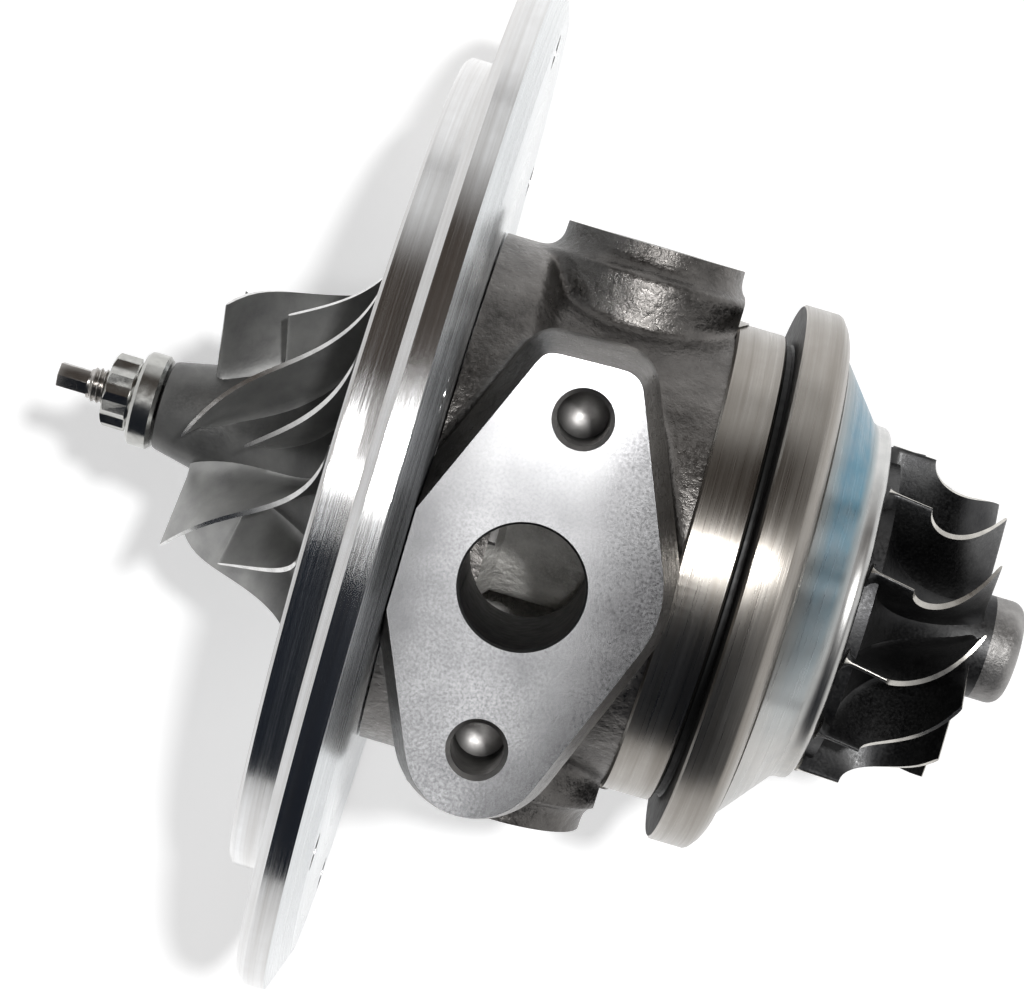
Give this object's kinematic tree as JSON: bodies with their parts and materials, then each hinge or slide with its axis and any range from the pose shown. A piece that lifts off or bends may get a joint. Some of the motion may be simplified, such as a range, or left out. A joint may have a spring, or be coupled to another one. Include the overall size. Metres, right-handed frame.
{
  "type": "turbocharger cartridge",
  "caption": "Turbocharger core: iron bearing housing with a flanged oil drain, turned compressor backplate, and a shaft carrying a compressor wheel and a turbine wheel.",
  "frame": {"origin": "on the shaft's axis, in the plane of the ring face that the turbine housing seats on", "axes": "+X along the shaft from the compressor wheel to the turbine wheel, +Z out of the oil drain face, +Y towards one coolant port"},
  "size_m": [0.1416, 0.1496, 0.1496],
  "materials": {
    "cast_iron": "dark as-cast skin, turned and milled where it seals",
    "turned_aluminium": "bright turned",
    "cast_aluminium": "fine cast, satin",
    "shield_steel": "pressed sheet, heat tinted",
    "nickel_alloy": "dark investment cast",
    "shaft_steel": "ground",
    "nut_steel": "turned, bright",
    "bearing_bronze": "machined",
    "spring_steel": "dark, lightly oiled",
    "rubber": "smooth"
  },
  "bodies": {
    "housing": {"bearing_housing": "cast_iron", "compressor_backplate": "turned_aluminium", "heat_shield": "shield_steel", "thrust_bearing": "bearing_bronze", "oil_deflector": "spring_steel", "backplate_o_ring": "rubber", "compressor_seal_ring": "spring_steel", "turbine_seal_ring": "spring_steel", "bearing_ring_1": "spring_steel", "bearing_ring_2": "spring_steel", "bearing_ring_3": "spring_steel", "bearing_ring_4": "spring_steel", "backplate_screw_1": "spring_steel", "backplate_screw_2": "spring_steel", "backplate_screw_3": "spring_steel", "backplate_screw_4": "spring_steel", "thrust_pin_1": "spring_steel", "thrust_pin_2": "spring_steel"},
    "rotor": {"shaft": "shaft_steel", "turbine_wheel": "nickel_alloy", "compressor_wheel": "cast_aluminium", "lock_nut": "nut_steel", "thrust_collar": "shaft_steel", "seal_spacer": "shaft_steel"},
    "compressor_bearing": {"journal_bearing_compressor": "bearing_bronze"},
    "turbine_bearing": {"journal_bearing_turbine": "bearing_bronze"}
  },
  "joints": [
    {"name": "rotor_spin", "type": "hinge", "parent": "housing", "child": "rotor", "pos_m": [0, 0, 0], "axis": [1, 0, 0], "continuous": true},
    {"name": "compressor_bearing_spin", "type": "hinge", "parent": "housing", "child": "compressor_bearing", "pos_m": [-0.0345, 0, 0], "axis": [1, 0, 0], "continuous": true},
    {"name": "turbine_bearing_spin", "type": "hinge", "parent": "housing", "child": "turbine_bearing", "pos_m": [-0.0095, 0, 0], "axis": [1, 0, 0], "continuous": true}
  ]
}
